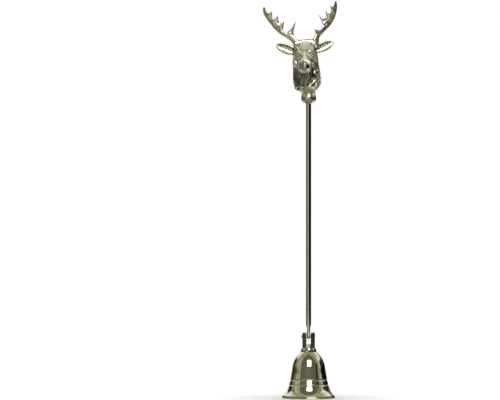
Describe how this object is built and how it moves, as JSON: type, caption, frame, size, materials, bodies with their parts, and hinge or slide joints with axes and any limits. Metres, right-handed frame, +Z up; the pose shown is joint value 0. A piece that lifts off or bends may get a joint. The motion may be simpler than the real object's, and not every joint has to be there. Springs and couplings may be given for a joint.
{
  "type": "candle snuffer",
  "caption": "Candle snuffer with a hinged turned bell, a thin round handle rod and a cast stag's head finial.",
  "frame": {"origin": "on the handle rod's axis at the middle of the fingers' grip", "axes": "+Z up along the rod towards the stag's head, -Y the way the head looks, +X to the right of someone who faces it; the hinge turns about X"},
  "size_m": [0.0565, 0.0451, 0.3026],
  "materials": {
    "cast_metal": "polished nickel plate over a cast surface, bright on the high places",
    "rod_metal": "drawn rod, polished nickel plate",
    "bell_metal": "spun or turned shell, mirror-polished nickel plate",
    "yoke_metal": "turned, polished nickel plate",
    "pin_metal": "hammered rivet, nickel plate",
    "fastener_metal": "plain steel screw and washer"
  },
  "bodies": {
    "handle": {"stag_head": "cast_metal", "handle_rod": "rod_metal"},
    "bell": {"bell": "bell_metal", "bell_yoke": "yoke_metal", "hinge_pin": "pin_metal", "crown_washer": "fastener_metal", "crown_screw": "fastener_metal"}
  },
  "joints": [
    {"name": "bell_swing", "type": "hinge", "parent": "handle", "child": "bell", "pos_m": [0, 0, -0.1409], "axis": [1, 0, 0], "range_deg": [-115, 115]}
  ]
}
